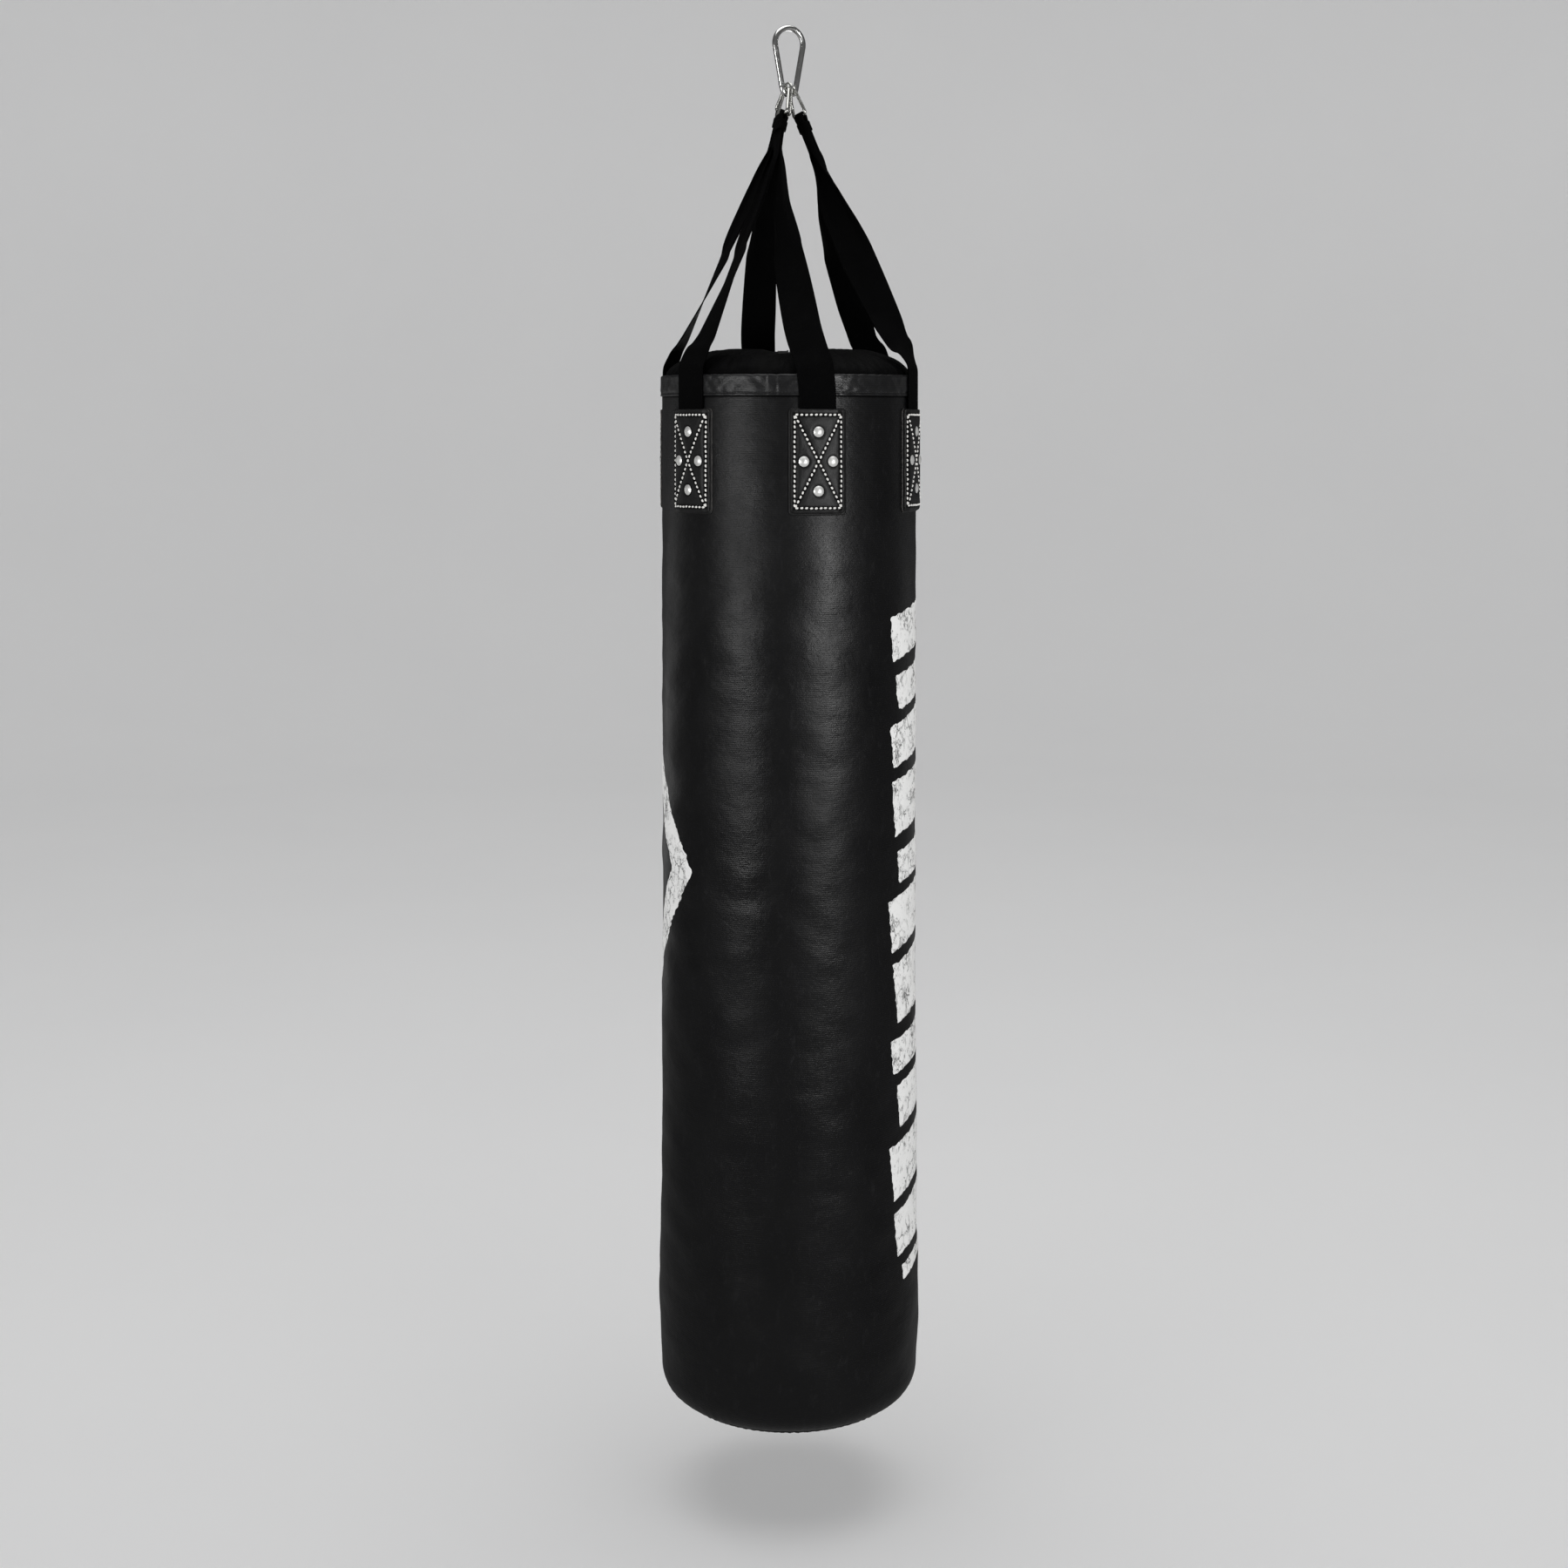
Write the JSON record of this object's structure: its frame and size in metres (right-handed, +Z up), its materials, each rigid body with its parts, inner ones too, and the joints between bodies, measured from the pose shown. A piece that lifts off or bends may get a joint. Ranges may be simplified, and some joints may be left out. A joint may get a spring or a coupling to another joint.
{
  "type": "hanging heavy bag",
  "caption": "Tall round-ended training bag hung by webbing legs, riveted leather patches and triangular rings from one snap hook.",
  "frame": {"origin": "inside top of the snap hook, where the ceiling hook bears", "axes": "+Z up, +X to the right, -Y the front; the snap hook's plane is turned 30 degrees about Z"},
  "size_m": [0.3678, 0.3726, 1.911],
  "materials": {
    "hook_steel": "bright zinc plated steel rod",
    "spring_steel": "drawn spring wire",
    "ring_steel": "bright zinc plated steel wire",
    "webbing": "black woven polypropylene webbing",
    "bag_vinyl": "black coated vinyl, semi-matte with a fine grain",
    "cover_fabric": "black matte coated nylon",
    "patch_leather": "black leather, waxed face and raw cut edge",
    "rivet_steel": "nickel plated domed rivet",
    "liner_fabric": "grey woven liner",
    "filling": "shredded textile",
    "zip_fabric": "black woven zip tape",
    "zip_nylon": "black nylon coil",
    "zip_metal": "black lacquered die-cast zip slider"
  },
  "bodies": {
    "hook": {"carabiner_body": "hook_steel", "gate_rivet": "hook_steel"},
    "gate": {"carabiner_gate": "hook_steel", "latch_pin": "hook_steel", "gate_plunger": "spring_steel", "gate_spring": "spring_steel"},
    "rings": {"ring_front": "ring_steel", "ring_back": "ring_steel", "ring_right": "ring_steel"},
    "bag": {"strap_front": "webbing", "strap_back": "webbing", "strap_right": "webbing", "keeper_front": "webbing", "keeper_back": "webbing", "keeper_right": "webbing", "shell": "bag_vinyl", "hem_band": "bag_vinyl", "top_cover": "cover_fabric", "bottom_panel": "bag_vinyl", "bottom_welt": "bag_vinyl", "liner": "liner_fabric", "filling": "filling", "seam_strip": "liner_fabric", "patch_rivets": "rivet_steel", "rivet_burrs": "rivet_steel", "zip_tapes": "zip_fabric", "zip_coils": "zip_nylon", "patch_1": "patch_leather", "patch_2": "patch_leather", "patch_3": "patch_leather", "patch_4": "patch_leather", "patch_5": "patch_leather", "patch_6": "patch_leather", "underlay_1": "patch_leather", "underlay_2": "patch_leather", "underlay_3": "patch_leather", "underlay_4": "patch_leather", "underlay_5": "patch_leather", "underlay_6": "patch_leather"},
    "slider": {"zip_slider": "zip_metal"},
    "pull": {"zip_pull": "zip_metal"}
  },
  "joints": [
    {"name": "gate_hinge", "type": "hinge", "parent": "hook", "child": "gate", "pos_m": [-0.01034, -0.00597, -0.07568], "axis": [-0.5, 0.866, 0], "range_deg": [0, 26], "stiffness_Nm_per_rad": 0.15},
    {"name": "swing_fore_aft", "type": "hinge", "parent": "hook", "child": "rings", "pos_m": [0, 0, -0.0905], "axis": [0.866, 0.5, 0], "range_deg": [-35, 35]},
    {"name": "swing_sideways", "type": "hinge", "parent": "rings", "child": "bag", "pos_m": [0, 0, -0.122], "axis": [-0.5, 0.866, 0], "range_deg": [-15, 15], "deforming": ["strap_front", "strap_back", "strap_right", "keeper_front", "keeper_back", "keeper_right"]},
    {"name": "zip_slide", "type": "hinge", "parent": "bag", "child": "slider", "pos_m": [0, 0, -1.651], "axis": [1, 0, 0], "range_deg": [0, 10.5]},
    {"name": "pull_hinge", "type": "hinge", "parent": "slider", "child": "pull", "pos_m": [0, 0.11233, -0.45095], "axis": [1, 0, 0], "range_deg": [0, 160]}
  ]
}
